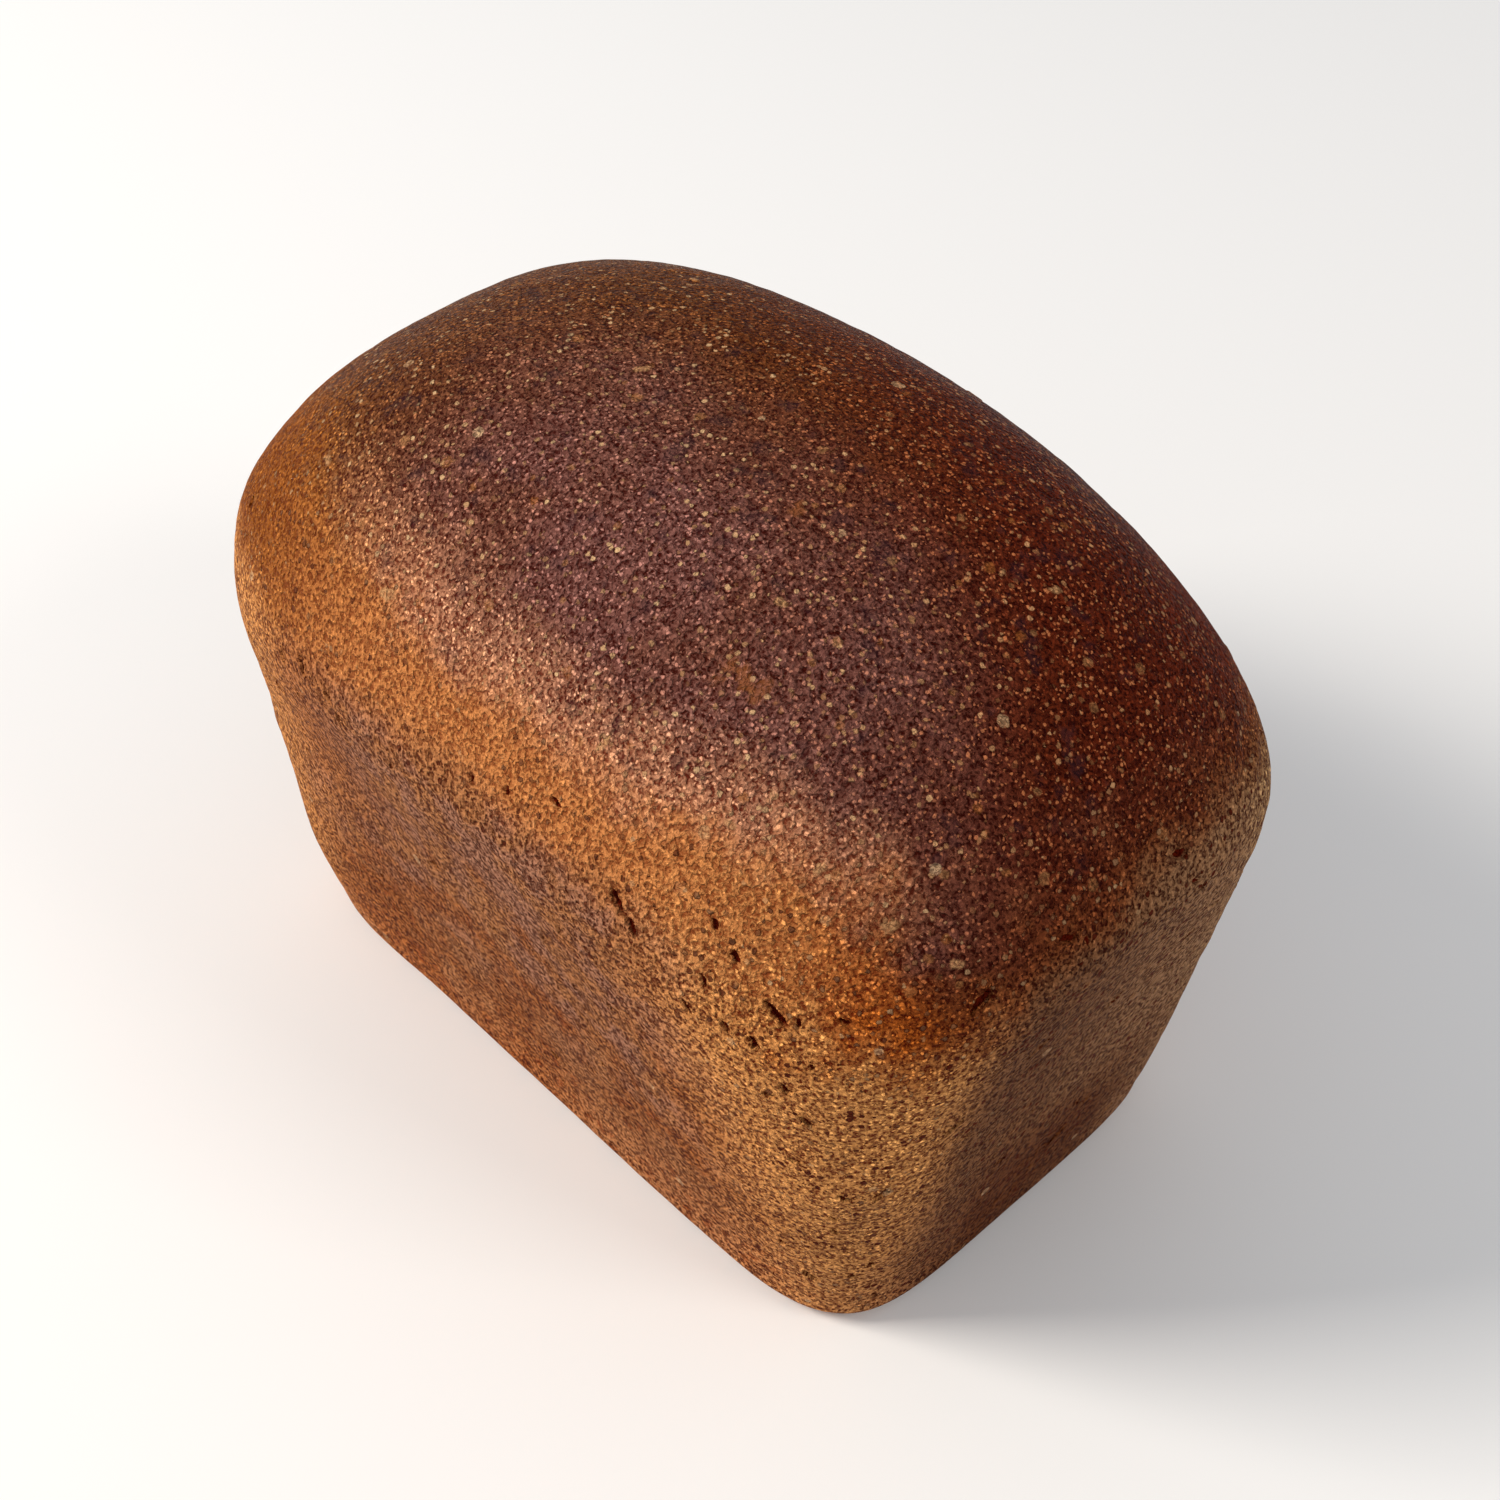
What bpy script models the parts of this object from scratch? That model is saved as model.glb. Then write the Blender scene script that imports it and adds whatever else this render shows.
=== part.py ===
"""A small tin loaf: dark rye and wheat bread, baked in a short brick-shaped tin.

The tin gave the loaf its flat base, its rounded upright corners and its sides, which lean out
towards the top. Above the tin's rim the dough rose free, swelled a little and set as a dome.
The loaf is one piece of bread. It is drawn in metres with +Z up, +X along its length and +Y
across it, and the origin is the middle of the flat base.
"""

import math

import bmesh
import bpy
from mathutils import Vector

MM = 0.001

# The loaf's main sizes, at its widest level.
LENGTH = 166.0 * MM
WIDTH = 110.0 * MM
HEIGHT = 124.5 * MM
WIDEST_LEVEL = 84.5 * MM

# What the tin did: from the widest level down to the base each end and each side leans in.
END_LEAN = 10.2 * MM
SIDE_LEAN = 9.0 * MM
LEAN_START = 0.1
RIM_SWELL = 2.3 * MM
RIM_SWELL_REACH = 0.25
BASE_EDGE_RADIUS = 5.0 * MM

# The dome's profile is a superellipse between the widest level and the top.
DOME_OUT_POWER = 2.85
DOME_UP_POWER = 1.3

# Each level's outline is a superellipse too: 2 is an oval and 6 is nearly a rectangle.
TOP_SQUARENESS = 2.0
WIDEST_SQUARENESS = 3.0
BASE_SQUARENESS = 5.7

# The grid that is laid over the loaf.
ALONG = 30
ACROSS = 20
WALL_ROWS = 16
EDGE_ROWS = 4
CORE_LEVEL = 62.0 * MM
BOX_LENGTH = 160.0 * MM
BOX_WIDTH = 104.0 * MM
BOX_TOP = 120.0 * MM
HALVINGS = 40
SHARP_ANGLE = math.radians(40)

CRUST_COLOUR = (0.20, 0.075, 0.035, 1.0)
CRUST_ROUGHNESS = 0.55


def wall_inset(level, lean):
    """How far a wall stands inside the widest outline, at a level between the base and there."""
    down = (WIDEST_LEVEL - level) / (WIDEST_LEVEL - BASE_EDGE_RADIUS)
    down = min(max(down, 0.0), 1.0)
    soft = math.hypot(down, LEAN_START) - LEAN_START
    whole = math.hypot(1.0, LEAN_START) - LEAN_START
    swell = RIM_SWELL * (1.0 - math.exp(-((down / RIM_SWELL_REACH) ** 2)))
    return lean * soft / whole + swell


def base_edge_inset(level):
    """The rounding of the lower edge, a quarter circle in section."""
    if level >= BASE_EDGE_RADIUS:
        return 0.0
    below = (BASE_EDGE_RADIUS - max(level, 0.0)) / BASE_EDGE_RADIUS
    return BASE_EDGE_RADIUS * (1.0 - math.sqrt(1.0 - below * below))


def outline(level):
    """Half length, half width and squareness of the loaf's outline at a level."""
    if level > WIDEST_LEVEL:
        up = min((level - WIDEST_LEVEL) / (HEIGHT - WIDEST_LEVEL), 1.0)
        share = (1.0 - up**DOME_UP_POWER) ** (1.0 / DOME_OUT_POWER)
        square = TOP_SQUARENESS + (WIDEST_SQUARENESS - TOP_SQUARENESS) * share
        return LENGTH / 2 * share, WIDTH / 2 * share, square
    half_length = LENGTH / 2 - wall_inset(level, END_LEAN) - base_edge_inset(level)
    half_width = WIDTH / 2 - wall_inset(level, SIDE_LEAN) - base_edge_inset(level)
    down = (WIDEST_LEVEL - level) / (WIDEST_LEVEL - BASE_EDGE_RADIUS)
    blend = min(2.0 * down, 1.0)
    square = WIDEST_SQUARENESS + (BASE_SQUARENESS - WIDEST_SQUARENESS) * blend
    return half_length, half_width, square


def reach(x, y, level):
    """How many times the point x, y fits between the axis and the outline at a level."""
    half_length, half_width, square = outline(level)
    if half_length <= 0.0:
        return 0.0
    share = (abs(x) / half_length) ** square + (abs(y) / half_width) ** square
    return share ** (-1.0 / square) if share > 0.0 else math.inf


def on_loaf(box_point):
    """Moves a point of the guide box to the loaf.

    Up to the core level it moves straight out from the loaf's axis, so each row stays level.
    Above there it moves along its ray from the core, the point on the axis at the core level.
    """
    x, y, level = box_point
    if level <= CORE_LEVEL:
        scale = reach(x, y, level)
        return Vector((x * scale, y * scale, level))
    rise = level - CORE_LEVEL
    inside = 0.0
    outside = 2.0
    for _ in range(HALVINGS):
        middle = (inside + outside) / 2
        height = CORE_LEVEL + rise * middle
        if height < HEIGHT and reach(x * middle, y * middle, height) > 1.0:
            inside = middle
        else:
            outside = middle
    return Vector((x * inside, y * inside, CORE_LEVEL + rise * inside))


def spread(count, size):
    """Evenly spaced places from minus half the size to plus half of it."""
    return [size * (i / count - 0.5) for i in range(count + 1)]


def box_outline():
    """The guide box's outline as x, y pairs, once round, against the clock from one corner."""
    xs = spread(ALONG, BOX_LENGTH)
    ys = spread(ACROSS, BOX_WIDTH)
    front = [(x, ys[0]) for x in xs[:-1]]
    right = [(xs[-1], y) for y in ys[:-1]]
    back = [(x, ys[-1]) for x in reversed(xs[1:])]
    left = [(xs[0], y) for y in reversed(ys[1:])]
    return front + right + back + left


def row_levels():
    """The levels of the rows: round the lower edge first, and then up the wall."""
    edge = [
        BASE_EDGE_RADIUS * (1.0 - math.cos(math.pi / 2 * i / EDGE_ROWS))
        for i in range(EDGE_ROWS)
    ]
    rise = BOX_TOP - BASE_EDGE_RADIUS
    wall = [BASE_EDGE_RADIUS + rise * i / WALL_ROWS for i in range(WALL_ROWS + 1)]
    return edge + wall


def place_in_ring(i, j):
    """Where grid point i, j of a cap lies in the ring round it, or None if it lies inside."""
    if j == 0:
        return i
    if i == ALONG:
        return ALONG + j
    if j == ACROSS:
        return 2 * ALONG + ACROSS - i
    if i == 0:
        return (2 * ALONG + 2 * ACROSS - j) % (2 * ALONG + 2 * ACROSS)
    return None


def add_walls(mesh, outline_points):
    """Adds the rows from the base up and joins each to the next. Returns the rows."""
    rows = []
    for level in row_levels():
        rows.append([mesh.verts.new(on_loaf((x, y, level))) for x, y in outline_points])
    for lower, upper in zip(rows, rows[1:]):
        for i in range(len(lower)):
            after = (i + 1) % len(lower)
            mesh.faces.new((lower[i], lower[after], upper[after], upper[i]))
    return rows


def add_cap(mesh, ring, point_at, faces_up):
    """Fills a ring with a grid of faces whose inner points come from point_at."""
    grid = []
    for i in range(ALONG + 1):
        column = []
        for j in range(ACROSS + 1):
            place = place_in_ring(i, j)
            if place is None:
                column.append(mesh.verts.new(point_at(i, j)))
            else:
                column.append(ring[place])
        grid.append(column)
    for i in range(ALONG):
        for j in range(ACROSS):
            corners = (grid[i][j], grid[i + 1][j], grid[i + 1][j + 1], grid[i][j + 1])
            mesh.faces.new(corners if faces_up else tuple(reversed(corners)))


def base_point(ring, i, j):
    """A point of the flat base, blended from the four stretches of the ring round it."""
    u = i / ALONG
    v = j / ACROSS
    front = ring[i].co
    back = ring[2 * ALONG + ACROSS - i].co
    right = ring[ALONG + j].co
    left = ring[(2 * ALONG + 2 * ACROSS - j) % len(ring)].co
    corners = (
        ring[0].co * (1 - u) * (1 - v)
        + ring[ALONG].co * u * (1 - v)
        + ring[ALONG + ACROSS].co * u * v
        + ring[2 * ALONG + ACROSS].co * (1 - u) * v
    )
    return front * (1 - v) + back * v + left * (1 - u) + right * u - corners


def build_loaf():
    """Makes the loaf's mesh: walls, domed top and flat base, all in one closed skin."""
    mesh = bmesh.new()
    rows = add_walls(mesh, box_outline())
    xs = spread(ALONG, BOX_LENGTH)
    ys = spread(ACROSS, BOX_WIDTH)
    add_cap(mesh, rows[-1], lambda i, j: on_loaf((xs[i], ys[j], BOX_TOP)), True)
    add_cap(mesh, rows[0], lambda i, j: base_point(rows[0], i, j), False)
    data = bpy.data.meshes.new("tin_loaf")
    mesh.to_mesh(data)
    mesh.free()
    data.shade_smooth()
    data.set_sharp_from_angle(angle=SHARP_ANGLE)
    return data


def crust_material():
    """Dark, slightly satin bread crust."""
    material = bpy.data.materials.new("crust")
    material.use_nodes = True
    shader = material.node_tree.nodes["Principled BSDF"]
    shader.inputs["Base Color"].default_value = CRUST_COLOUR
    shader.inputs["Roughness"].default_value = CRUST_ROUGHNESS
    shader.inputs["Metallic"].default_value = 0.0
    return material


def clear_scene():
    """Removes whatever objects the scene starts with."""
    for thing in list(bpy.data.objects):
        bpy.data.objects.remove(thing, do_unlink=True)


clear_scene()
loaf = bpy.data.objects.new("tin_loaf", build_loaf())
loaf.data.materials.append(crust_material())
bpy.context.scene.collection.objects.link(loaf)
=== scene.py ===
# %% [markdown]
# # A tin loaf
#
# This lesson builds one dark tin loaf. The real thing is rye and wheat dough that was proved and
# baked in a short brick-shaped tin. It is one piece, so there is one object to make, and all the
# work goes into its skin: the form that the tin and the rising dough gave it, the pits and tears
# where gas broke through, the flakes of bran, and the colour that each level took in the oven.
#
# The loaf was first drawn as a plain solid. That solid is the frame: it says where the loaf
# stands and how big it is. The fine loaf made here takes its place without changing its size.

# %% Load the frame
import math

import bmesh
import bpy
import numpy as np
from mathutils import Matrix, Vector, noise


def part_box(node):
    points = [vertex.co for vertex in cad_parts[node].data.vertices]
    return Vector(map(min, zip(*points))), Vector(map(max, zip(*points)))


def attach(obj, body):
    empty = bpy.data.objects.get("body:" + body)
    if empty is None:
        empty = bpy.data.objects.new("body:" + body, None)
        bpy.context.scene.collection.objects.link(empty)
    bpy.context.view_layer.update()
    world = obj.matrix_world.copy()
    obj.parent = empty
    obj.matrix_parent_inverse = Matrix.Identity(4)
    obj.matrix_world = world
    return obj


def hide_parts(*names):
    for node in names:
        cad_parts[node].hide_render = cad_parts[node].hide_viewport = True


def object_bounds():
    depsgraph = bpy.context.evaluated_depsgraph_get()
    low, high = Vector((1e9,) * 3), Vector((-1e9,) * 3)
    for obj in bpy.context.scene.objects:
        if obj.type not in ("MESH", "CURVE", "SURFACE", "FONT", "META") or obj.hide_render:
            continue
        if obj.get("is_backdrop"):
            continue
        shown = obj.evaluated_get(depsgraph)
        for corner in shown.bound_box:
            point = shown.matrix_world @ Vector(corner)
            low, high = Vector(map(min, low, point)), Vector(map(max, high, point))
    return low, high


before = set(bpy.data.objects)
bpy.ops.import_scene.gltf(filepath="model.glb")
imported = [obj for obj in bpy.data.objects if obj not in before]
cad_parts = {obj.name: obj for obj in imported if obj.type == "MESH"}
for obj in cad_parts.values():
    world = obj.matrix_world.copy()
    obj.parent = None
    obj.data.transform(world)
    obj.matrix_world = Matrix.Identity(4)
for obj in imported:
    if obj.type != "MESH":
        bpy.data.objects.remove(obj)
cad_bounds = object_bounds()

MM = 0.001
loaf_low, loaf_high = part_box("tin_loaf")
print("frame box in mm:", [round(s / MM, 1) for s in (loaf_high - loaf_low)])

# %% [markdown]
# ## The camera
#
# The camera looks down on the near corner from about arm's length, so the upright edges run
# together towards the base. A longer lens from further away would make them look parallel. The
# camera is made first, because every later choice is judged through it.

# %% Camera
LOOK_AT = Vector((4.5, 1.3, 57.7)) * MM
AZIMUTH = math.radians(46.07)
ELEVATION = math.radians(45.59)
ROLL = math.radians(0.58)
DISTANCE = 355.0 * MM
LENS = 53.2

ahead = Vector(
    (
        -math.sin(AZIMUTH) * math.cos(ELEVATION),
        math.cos(AZIMUTH) * math.cos(ELEVATION),
        -math.sin(ELEVATION),
    )
)
level_right = Vector((math.cos(AZIMUTH), math.sin(AZIMUTH), 0.0))
level_up = level_right.cross(ahead)
right = level_right * math.cos(ROLL) + level_up * math.sin(ROLL)
up = level_up * math.cos(ROLL) - level_right * math.sin(ROLL)

camera_data = bpy.data.cameras.new("camera")
camera_data.lens = LENS
camera_data.sensor_width = 36.0
camera_data.clip_start = 10.0 * MM
camera = bpy.data.objects.new("camera", camera_data)
turn = Matrix((right, up, -ahead)).transposed().to_4x4()
camera.matrix_world = Matrix.Translation(LOOK_AT - ahead * DISTANCE) @ turn
bpy.context.scene.collection.objects.link(camera)
bpy.context.scene.camera = camera
print("camera at mm:", [round(c / MM) for c in camera.location])

# %% [markdown]
# ## The form of the loaf
#
# A tin loaf has two makers. Up to the rim the tin shapes it: flat base, rounded upright corners
# and sides that lean out so that the loaf slides free. Above the rim the dough shapes itself: it
# swells a little over the edge and sets as a dome.
#
# One could sculpt this by hand, but a formula is easier to keep true to the frame. Every level
# cut through the loaf is a superellipse, a curve that runs from an oval (power 2) to nearly a
# rectangle (power 6). So the form is three short functions: the half length, the half width and
# the squareness at each level. They work on whole arrays of points at once.

# %% Form
LENGTH = (loaf_high.x - loaf_low.x) / MM
WIDTH = (loaf_high.y - loaf_low.y) / MM
HEIGHT = loaf_high.z / MM
WIDEST_LEVEL = 84.5
END_LEAN = 10.2
SIDE_LEAN = 9.0
LEAN_START = 0.1
RIM_SWELL = 2.3
RIM_SWELL_REACH = 0.25
BASE_EDGE_RADIUS = 5.0
DOME_OUT_POWER = 2.85
DOME_UP_POWER = 1.3
TOP_SQUARENESS = 2.0
WIDEST_SQUARENESS = 3.0
BASE_SQUARENESS = 5.7


def wall_inset(down, lean):
    """How far a wall stands inside the widest outline, down being 0 there and 1 at the base."""
    soft = np.hypot(down, LEAN_START) - LEAN_START
    whole = math.hypot(1.0, LEAN_START) - LEAN_START
    return lean * soft / whole + RIM_SWELL * (1 - np.exp(-((down / RIM_SWELL_REACH) ** 2)))


def outline(level):
    """Half length, half width and squareness of the loaf's outline at each level, in mm."""
    up_share = np.clip((level - WIDEST_LEVEL) / (HEIGHT - WIDEST_LEVEL), 0, 1)
    share = (1 - up_share**DOME_UP_POWER) ** (1 / DOME_OUT_POWER)
    down = np.clip((WIDEST_LEVEL - level) / (WIDEST_LEVEL - BASE_EDGE_RADIUS), 0, 1)
    below = np.clip(1 - level / BASE_EDGE_RADIUS, 0, 1)
    edge = BASE_EDGE_RADIUS * (1 - np.sqrt(1 - below**2))
    in_dome = level > WIDEST_LEVEL
    dome_square = TOP_SQUARENESS + (WIDEST_SQUARENESS - TOP_SQUARENESS) * share
    wall_square = WIDEST_SQUARENESS + (BASE_SQUARENESS - WIDEST_SQUARENESS) * np.minimum(2 * down, 1)
    half_length = LENGTH / 2 * share - wall_inset(down, END_LEAN) - edge
    half_width = WIDTH / 2 * share - wall_inset(down, SIDE_LEAN) - edge
    return half_length, half_width, np.where(in_dome, dome_square, wall_square)


def reach(x, y, level):
    """How many times the point x, y fits between the axis and the outline at its level."""
    half_length, half_width, square = outline(level)
    half_length = np.maximum(half_length, 1e-6)
    half_width = np.maximum(half_width, 1e-6)
    share = (np.abs(x) / half_length) ** square + (np.abs(y) / half_width) ** square
    return np.maximum(share, 1e-12) ** (-1 / square)


for level in (0.0, 45.0, WIDEST_LEVEL, 115.0):
    half_length, half_width, square = outline(np.array(level))
    section = f"{2 * half_length:5.1f} by {2 * half_width:5.1f}"
    print(f"level {level:5.1f} mm: {section}, power {square:.1f}")

# %% [markdown]
# ## A skin of even squares
#
# A mesh that will carry pores and lumps needs faces of one size everywhere. A turned shape, like
# a globe with its meridians, would crowd them at the top. Here a guide box is drawn round the
# loaf with a grid on it, and each grid point is pushed on to the form. The rows low on the walls
# stay level, and higher up the points travel along rays from a point inside the loaf, which
# brings them over the shoulder without a seam.

# %% Guide box
CORE_LEVEL = 62.0
BOX_LENGTH = 160.0
BOX_WIDTH = 104.0
BOX_TOP = 120.0
ALONG = 152
ACROSS = 100
WALL_ROWS = 100
EDGE_ROWS = 7
HALVINGS = 40
ROUND = 2 * (ALONG + ACROSS)


def on_loaf(points):
    """Moves points of the guide box on to the loaf."""
    x, y, level = points[:, 0], points[:, 1], points[:, 2]
    flat = reach(x, y, level)
    low_rows = np.stack([x * flat, y * flat, level], 1)
    rise = np.maximum(level - CORE_LEVEL, 0.0)
    inside = np.zeros(len(points))
    outside = np.full(len(points), 2.0)
    for _ in range(HALVINGS):
        middle = (inside + outside) / 2
        height = CORE_LEVEL + rise * middle
        within = (height < HEIGHT) & (reach(x * middle, y * middle, height) > 1)
        inside = np.where(within, middle, inside)
        outside = np.where(within, outside, middle)
    high_rows = np.stack([x * inside, y * inside, CORE_LEVEL + rise * inside], 1)
    return np.where((level <= CORE_LEVEL)[:, None], low_rows, high_rows)


def box_round():
    """The guide box's outline, once round, against the clock from the front left corner."""
    xs = np.linspace(-BOX_LENGTH / 2, BOX_LENGTH / 2, ALONG + 1)
    ys = np.linspace(-BOX_WIDTH / 2, BOX_WIDTH / 2, ACROSS + 1)
    front = [(x, ys[0]) for x in xs[:-1]]
    right_end = [(xs[-1], y) for y in ys[:-1]]
    back = [(x, ys[-1]) for x in xs[:0:-1]]
    left_end = [(xs[0], y) for y in ys[:0:-1]]
    return np.array(front + right_end + back + left_end)


def row_levels():
    """Levels of the rows, first round the lower edge and then up the wall."""
    quarter = np.linspace(0, math.pi / 2, EDGE_ROWS, endpoint=False)
    wall = np.linspace(BASE_EDGE_RADIUS, BOX_TOP, WALL_ROWS + 1)
    return np.concatenate([BASE_EDGE_RADIUS * (1 - np.cos(quarter)), wall])


levels = row_levels()
outline_xy = box_round()
wall_box = np.concatenate([np.column_stack([outline_xy, np.full(ROUND, z)]) for z in levels])
wall_points = on_loaf(wall_box)
print("wall points:", len(wall_points), "in", len(levels), "rows of", ROUND)

# %% [markdown]
# ## Closing the top and the base
#
# The top is a grid whose rim is the last row of the wall. The base is flat, as the tin's bottom
# made it, so it needs few faces: rings that halve their number of points towards the middle.
# Each face also gets its place on a flat sheet, the UV map, so that colours and relief can be
# stored as images later. The wall is cut at two opposite corners into two strips.

# %% Wall and top faces
SHEET_GAP = 3.0
STRIP_COLUMNS = ALONG + ACROSS


def rim_place(i, j):
    """Where grid point i, j of the top lies in the ring round it, or None inside."""
    if j == 0:
        return i
    if i == ALONG:
        return ALONG + j
    if j == ACROSS:
        return 2 * ALONG + ACROSS - i
    if i == 0:
        return (ROUND - j) % ROUND
    return None


points = [tuple(p) for p in wall_points]
faces = []
places = []
row_count = len(levels)
strip_height = row_count - 1 + SHEET_GAP
for row in range(row_count - 1):
    for column in range(ROUND):
        after = (column + 1) % ROUND
        low, high = row * ROUND, (row + 1) * ROUND
        faces.append((low + column, low + after, high + after, high + column))
        strip = column // STRIP_COLUMNS
        u = column % STRIP_COLUMNS
        v = row + strip * strip_height
        places.append(((u, v), (u + 1, v), (u + 1, v + 1), (u, v + 1)))

top_v = 2 * strip_height
top_start = (row_count - 1) * ROUND
xs = np.linspace(-BOX_LENGTH / 2, BOX_LENGTH / 2, ALONG + 1)
ys = np.linspace(-BOX_WIDTH / 2, BOX_WIDTH / 2, ACROSS + 1)
inner = [(xs[i], ys[j], BOX_TOP) for i in range(1, ALONG) for j in range(1, ACROSS)]
inner_start = len(points)
points += [tuple(p) for p in on_loaf(np.array(inner))]


def top_point(i, j):
    """The number of grid point i, j of the top."""
    place = rim_place(i, j)
    if place is None:
        return inner_start + (i - 1) * (ACROSS - 1) + (j - 1)
    return top_start + place


for i in range(ALONG):
    for j in range(ACROSS):
        square = ((i, j), (i + 1, j), (i + 1, j + 1), (i, j + 1))
        faces.append(tuple(top_point(a, b) for a, b in square))
        places.append(tuple((a, top_v + b) for a, b in square))
print("wall and top faces:", len(faces))

# %% [markdown]
# ## The base in rings
#
# The base lies on the shelf and is never looked at closely, but it must close the skin. Each ring
# is a share of the outline's size and keeps every first, second, fourth or eighth point of it.

# %% Base faces
BASE_RINGS = ((0.985, 1), (0.93, 2), (0.80, 4), (0.55, 8))
BASE_ON_SHEET = 0.95
base_u = ALONG + SHEET_GAP + ACROSS / 2
base_v = top_v + ACROSS / 2


def base_place(index):
    """A base point's place on the flat sheet, turned so that its length runs up the sheet."""
    x, y = points[index][:2]
    return base_u - y * BASE_ON_SHEET, base_v + x * BASE_ON_SHEET


ring = list(range(ROUND))
for shrink, share in BASE_RINGS:
    start = len(points)
    kept = list(range(0, ROUND, share))
    points += [(points[k][0] * shrink, points[k][1] * shrink, 0.0) for k in kept]
    inner_ring = [start + n for n in range(len(kept))]
    step = len(ring) // len(inner_ring)
    for n, here in enumerate(inner_ring):
        onward = inner_ring[(n + 1) % len(inner_ring)]
        outer = [ring[(n * step + m) % len(ring)] for m in range(step + 1)]
        if step == 2:
            faces.append((outer[1], outer[0], here))
            outer = outer[1:]
        faces.append((outer[1], outer[0], here, onward))
    ring = inner_ring
faces.append(tuple(reversed(ring)))
places += [tuple(base_place(k) for k in face) for face in faces[len(places) :]]
print("faces before the fine work:", len(faces))

# %% [markdown]
# ## Where the crust tore
#
# Gas in the dough breaks through the skin while it is still soft. Along the tin's wall it leaves
# pits and short slanting tears, deepest in a belt just under the rim. The larger ones are listed
# one by one, as (along the wall, level, length, width, tilt in degrees) in millimetres. The rest
# are strewn by a seeded random generator, so that they fall in the same places every time.
#
# Pits could be painted on, but a painted pit has no dark wall and no shadow. These are cut into
# the mesh.

# %% Tears and pits
FRONT_TEARS = (
    (35.0, 89.3, 4.6, 1.5, -30),
    (38.4, 87.0, 4.8, 1.2, -42),
    (60, 84, 5.2, 1.5, -32),
    (-41, 82, 3.2, 1.3, -60),
    (-34, 85, 3.4, 1.5, -50),
    (-27, 84, 2.2, 1.2, -40),
    (21, 96, 2.4, 1.1, 0),
    (6, 91, 2.2, 0.9, -45),
    (-12, 82, 1.7, 1.2, 0),
    (24, 75, 2.2, 1.2, -60),
    (53, 90, 1.8, 1.3, 0),
    (49, 93, 2.0, 1.0, -40),
    (48, 79, 3.6, 1.0, -42),
    (54, 79, 3.0, 1.1, -30),
    (58, 78, 2.6, 1.4, -30),
    (60, 68, 2.2, 1.4, 20),
    (65, 64, 3.6, 1.3, -35),
    (38, 64, 1.7, 1.3, 0),
    (62, 15, 3.6, 1.7, -20),
    (69, 46, 2.2, 1.4, 0),
    (63, 53, 2.2, 1.1, 10),
    (50, 85, 2.2, 0.9, -50),
    (23, 58, 2.6, 0.8, -40),
)
RIGHT_TEARS = (
    (-28, 87, 5.0, 1.6, 55),
    (-16, 68, 5.2, 1.3, 38),
    (2, 62, 4.2, 1.1, 30),
    (-29, 59, 4.2, 1.2, 45),
    (3, 21, 4.6, 1.6, 35),
    (-38, 47, 3.6, 1.3, 70),
    (8, 90, 2.4, 1.9, 0),
    (17, 65, 2.6, 1.0, 25),
    (-14, 90, 2.2, 1.4, 0),
    (-13, 32, 2.4, 1.2, 0),
    (19, 11, 2.6, 1.1, 20),
)
print("tears set by hand:", len(FRONT_TEARS) + len(RIGHT_TEARS))

# %% [markdown]
# ## Pits strewn by chance
#
# A wall is described by two directions: the way along it and the way out of it. The strewn pits
# are then the same few lines for all four walls. The back and the left end have no listed tears,
# so they get a few strewn ones as well.

# %% Strewn pits
WALLS = {
    "front": (Vector((1, 0, 0)), Vector((0, -1, 0))),
    "right": (Vector((0, 1, 0)), Vector((1, 0, 0))),
    "back": (Vector((-1, 0, 0)), Vector((0, 1, 0))),
    "left": (Vector((0, -1, 0)), Vector((-1, 0, 0))),
}
STREWN = (("front", 26, 70), ("right", 18, 44), ("back", 48, 70), ("left", 28, 44))
HIDDEN_WALLS = (("back", 60), ("left", 38))
HIDDEN_TEARS = 9
LOW_SHARE = 0.35
LOWEST_PIT = 6
HIGHEST_PIT = 93
rng = np.random.default_rng(7)


def on_wall(wall, along, level):
    """The point of a wall that lies so far along it, at a level."""
    half_length, half_width, square = (float(v) for v in outline(np.array(float(level))))
    sizes = (half_length, half_width) if wall in ("front", "back") else (half_width, half_length)
    share = min(abs(along) / sizes[0], 0.98)
    out = sizes[1] * (1 - share**square) ** (1 / square)
    side, outward = WALLS[wall]
    return side * along + outward * out + Vector((0, 0, level))


def strewn_pits(how_many, half_span):
    """Small pits for one wall, crowded in the belt under the rim and along the lower edge."""
    strewn = []
    for _ in range(how_many):
        is_low = rng.random() < LOW_SHARE
        level = rng.uniform(LOWEST_PIT, 40) if is_low else rng.normal(72, 14)
        level = min(max(level, LOWEST_PIT), HIGHEST_PIT)
        length = rng.uniform(1.0, 2.3)
        along = rng.uniform(-half_span, half_span)
        width = length * rng.uniform(0.45, 0.8)
        strewn.append((along, level, length, width, rng.uniform(-70, 10)))
    return strewn


pits = [("front", *tear) for tear in FRONT_TEARS] + [("right", *tear) for tear in RIGHT_TEARS]
for wall, how_many, half_span in STREWN:
    pits += [(wall, *pit) for pit in strewn_pits(how_many, half_span)]
for wall, half_span in HIDDEN_WALLS:
    for _ in range(HIDDEN_TEARS):
        along, level = rng.uniform(-half_span, half_span), rng.normal(80, 8)
        length, width = rng.uniform(2.6, 6.0), rng.uniform(0.9, 1.6)
        pits.append((wall, along, level, length, width, rng.uniform(-50, 40)))
print("pits and tears:", len(pits))
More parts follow.
